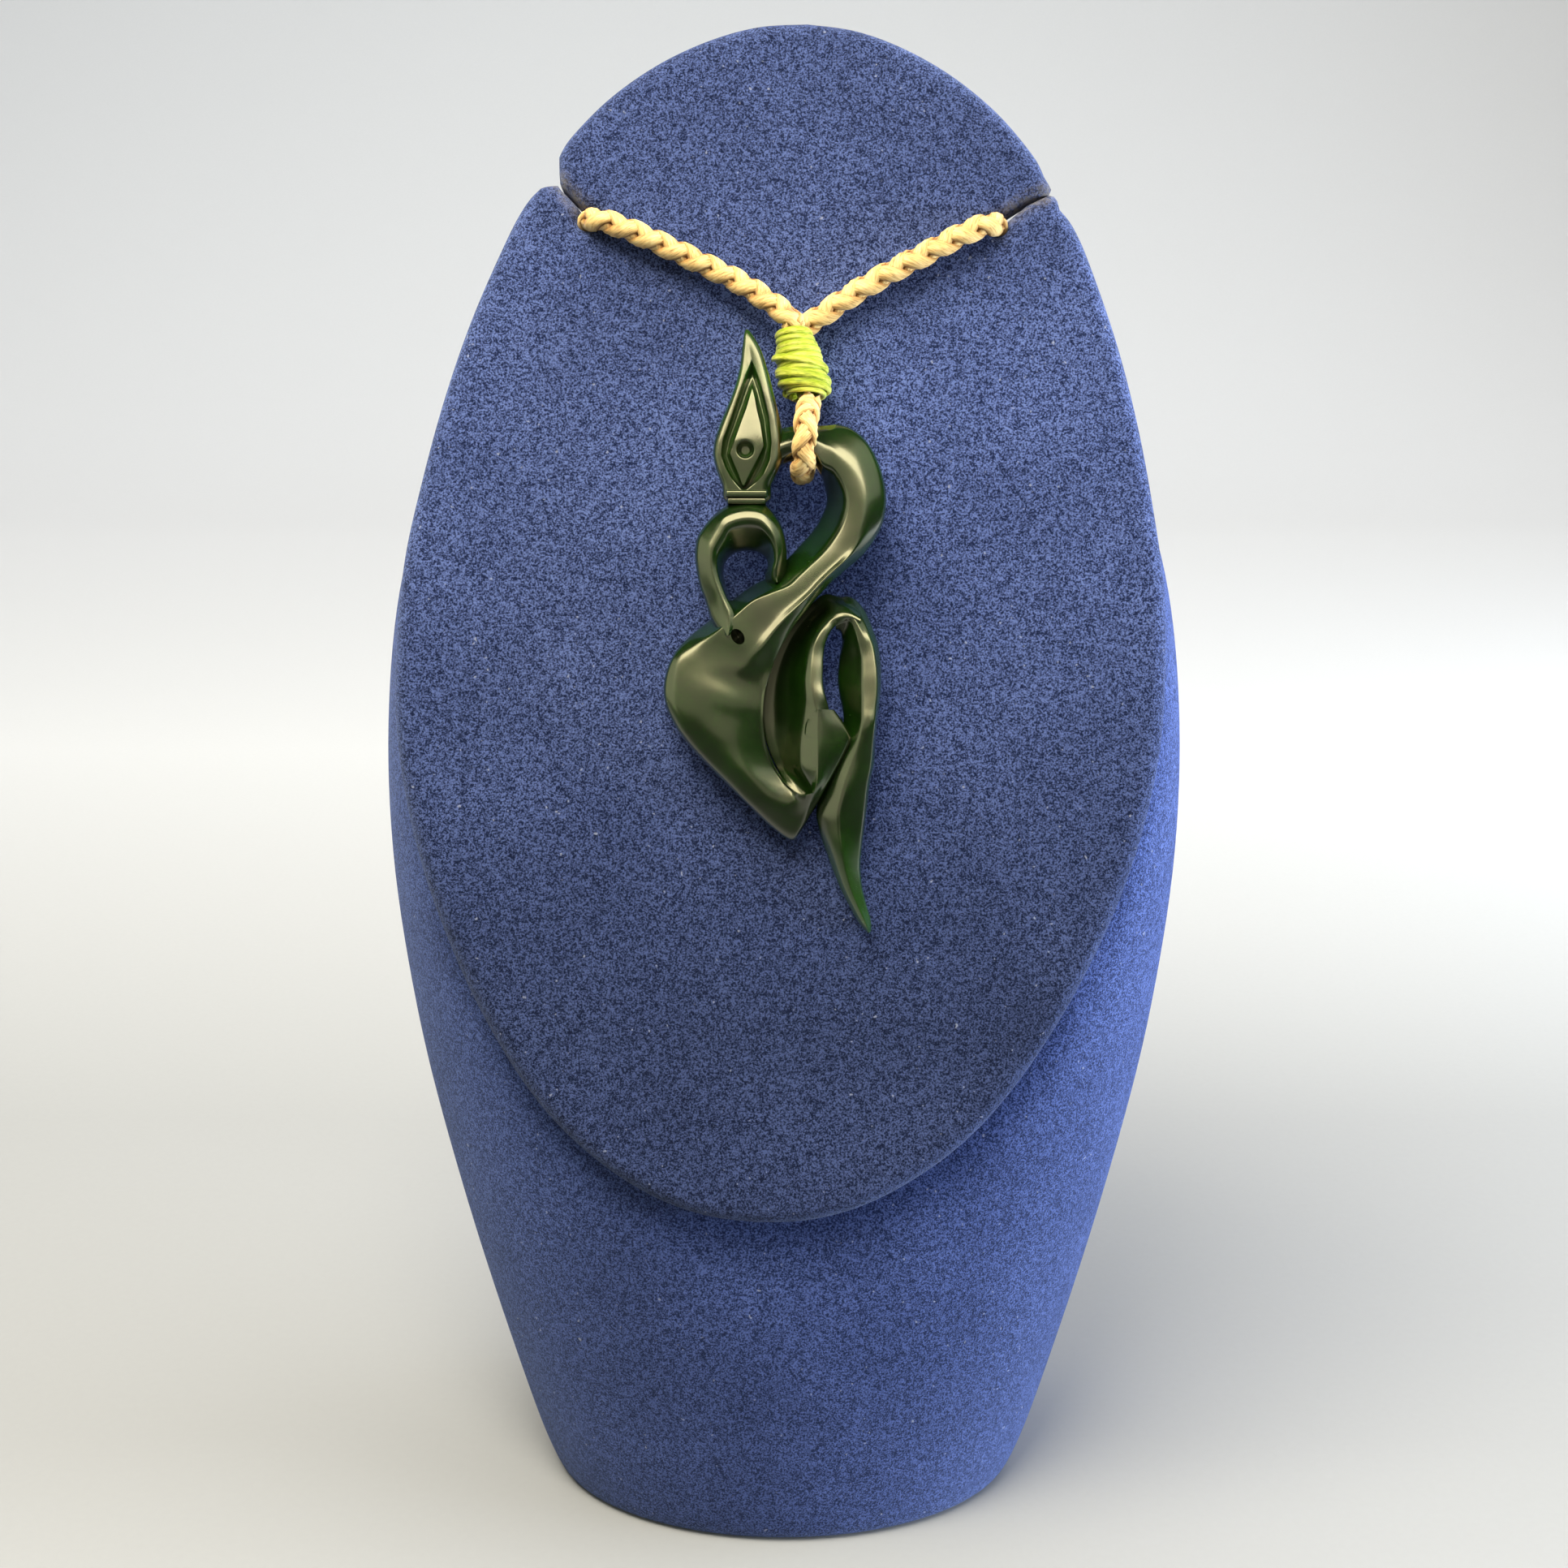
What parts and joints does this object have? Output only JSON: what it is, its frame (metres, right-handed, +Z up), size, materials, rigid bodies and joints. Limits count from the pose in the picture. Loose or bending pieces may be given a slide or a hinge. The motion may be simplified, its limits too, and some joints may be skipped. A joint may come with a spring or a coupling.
{
  "type": "jade manaia pendant on a necklace bust display stand",
  "caption": "Carved green stone bird-headed pendant on a plaited cord bound with green thread, hung over the padded face of a small velvet-covered neck bust.",
  "frame": {"origin": "middle of the bust's flat foot, on the table", "axes": "+Z up, +Y towards the back, +X to the right as seen from the front; the viewer looks along +Y"},
  "size_m": [0.104, 0.0576, 0.19],
  "materials": {
    "velvet": "dark blue velvet glued over a card body",
    "padded_velvet": "dark blue velvet over a thin padded board",
    "plaited_cord": "tan four-strand plaited waxed cotton cord",
    "cord_knot": "tan cord wound into a closing knot",
    "waxed_thread": "lime green waxed thread wound round the cord",
    "jade": "polished dark green jade stone, opaque with translucent thin edges"
  },
  "bodies": {
    "root": {"bust_body": "velvet", "face_panel": "padded_velvet", "cord_left": "plaited_cord", "cord_right": "plaited_cord", "pendant_loop": "plaited_cord", "cord_knot": "cord_knot", "whipping": "waxed_thread", "manaia": "jade"}
  },
  "joints": []
}
